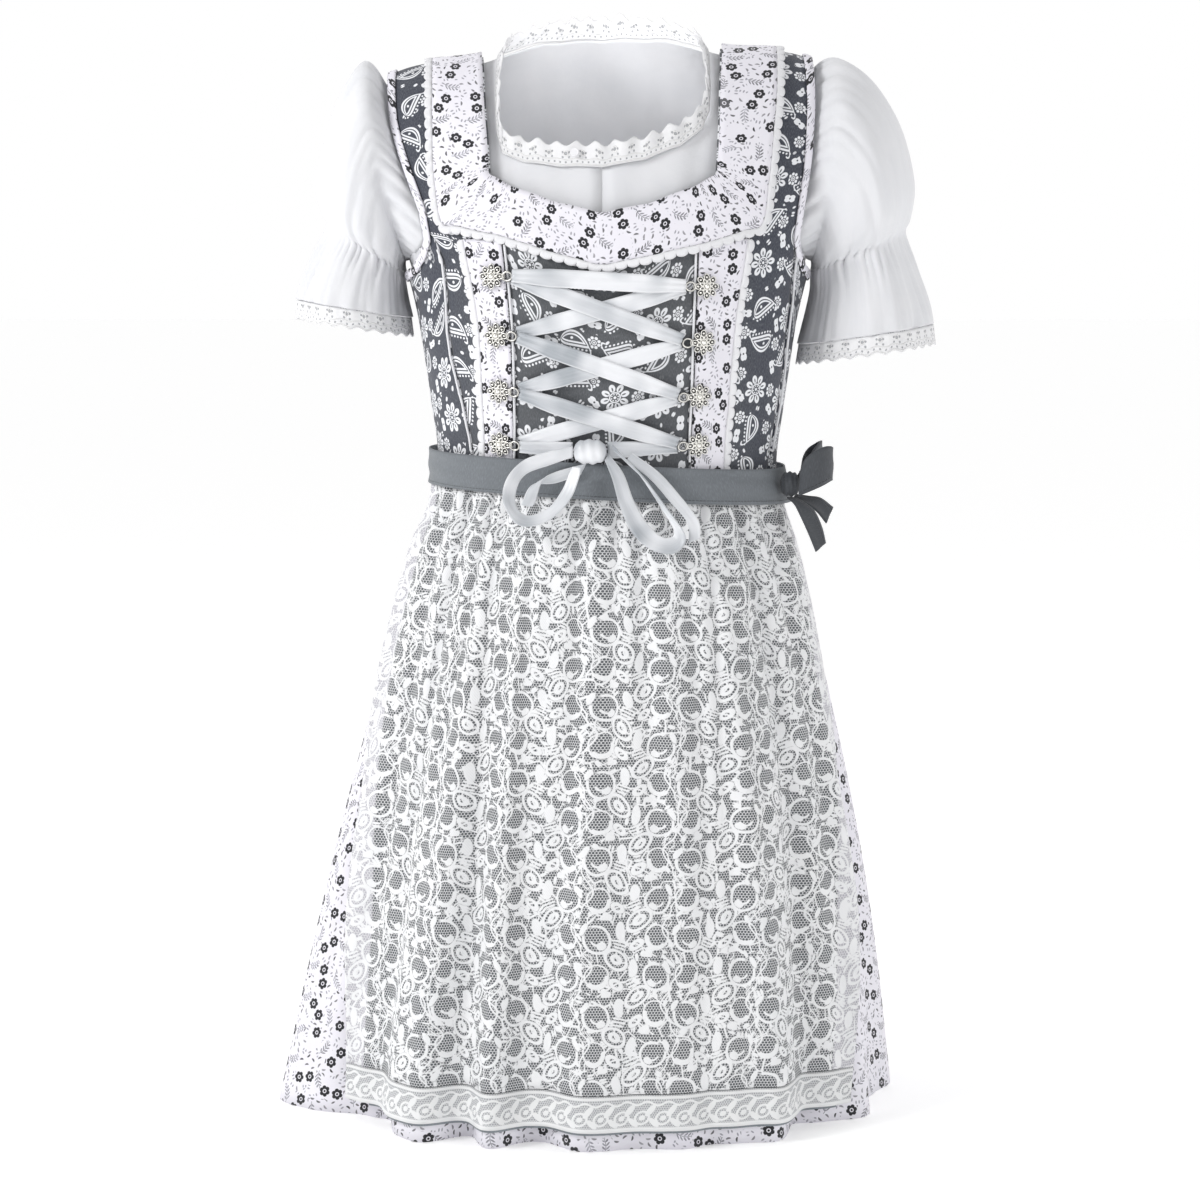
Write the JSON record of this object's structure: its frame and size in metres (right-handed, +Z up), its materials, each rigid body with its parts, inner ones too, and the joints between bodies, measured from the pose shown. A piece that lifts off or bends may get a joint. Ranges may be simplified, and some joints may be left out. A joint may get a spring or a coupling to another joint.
{
  "type": "child's dirndl with blouse and apron",
  "caption": "Hollow worn dirndl set: laced bodice with straps, gathered skirt, lace apron with side bow, white puff-sleeved blouse.",
  "frame": {"origin": "middle of the line between the shoulders, at the height where the wearer's shoulders carry the straps", "axes": "+Z up towards the neck, +X towards the viewer's right as seen from the front, -Y towards the viewer, so the front with the lacing faces -Y"},
  "size_m": [0.4616, 0.3363, 0.7605],
  "materials": {
    "bodice_print": "matt chambray weave with a white print",
    "floral_print": "matt cotton with small black flowers",
    "white_edging": "white satin-stitched edging",
    "eyelet_lace": "white cotton lace with small holes",
    "blouse_cotton": "fine matt white cotton",
    "apron_lace": "white lace pattern on a fine net",
    "apron_cloth": "plain grey lining cloth",
    "apron_band": "plain grey cloth",
    "bow_cloth": "plain dark grey cloth, topstitched",
    "hook_metal": "antique silver with dark recesses",
    "satin_ribbon": "shiny silver satin"
  },
  "bodies": {
    "root": {"apron_band": "apron_band", "apron_bow_knot": "bow_cloth", "apron_bow_loop_back": "bow_cloth", "apron_bow_loop_front": "bow_cloth", "apron_bow_tail_back": "bow_cloth", "apron_bow_tail_front": "bow_cloth", "apron_lace": "apron_lace", "apron_lace_hem": "apron_lace", "apron_underlay": "apron_cloth", "armhole_binding_left": "floral_print", "armhole_binding_right": "floral_print", "blouse_back": "blouse_cotton", "blouse_button": "blouse_cotton", "blouse_front_left": "blouse_cotton", "blouse_front_right": "blouse_cotton", "blouse_neck_lace": "eyelet_lace", "bodice_back_left": "bodice_print", "bodice_back_right": "bodice_print", "bodice_front": "bodice_print", "bodice_side_front_left": "bodice_print", "bodice_side_front_right": "bodice_print", "bodice_side_left": "bodice_print", "bodice_side_right": "bodice_print", "cuff_lace_left": "eyelet_lace", "cuff_lace_right": "eyelet_lace", "hook_left_1": "hook_metal", "hook_left_2": "hook_metal", "hook_left_3": "hook_metal", "hook_left_4": "hook_metal", "hook_right_1": "hook_metal", "hook_right_2": "hook_metal", "hook_right_3": "hook_metal", "hook_right_4": "hook_metal", "neck_border": "floral_print", "neck_border_edging": "white_edging", "placket_edging_left": "white_edging", "placket_edging_right": "white_edging", "placket_left": "floral_print", "placket_piping_left": "white_edging", "placket_piping_right": "white_edging", "placket_right": "floral_print", "princess_piping_left": "white_edging", "princess_piping_right": "white_edging", "ribbon_end_left": "satin_ribbon", "ribbon_end_right": "satin_ribbon", "ribbon_knot": "satin_ribbon", "ribbon_loop_left": "satin_ribbon", "ribbon_loop_right": "satin_ribbon", "ribbon_run_1_down": "satin_ribbon", "ribbon_run_1_up": "satin_ribbon", "ribbon_run_2_down": "satin_ribbon", "ribbon_run_2_up": "satin_ribbon", "ribbon_run_3_down": "satin_ribbon", "ribbon_run_3_up": "satin_ribbon", "ribbon_run_4_left": "satin_ribbon", "ribbon_run_4_right": "satin_ribbon", "ribbon_top_run": "satin_ribbon", "skirt": "floral_print", "sleeve_left": "blouse_cotton", "sleeve_right": "blouse_cotton"}
  },
  "joints": []
}
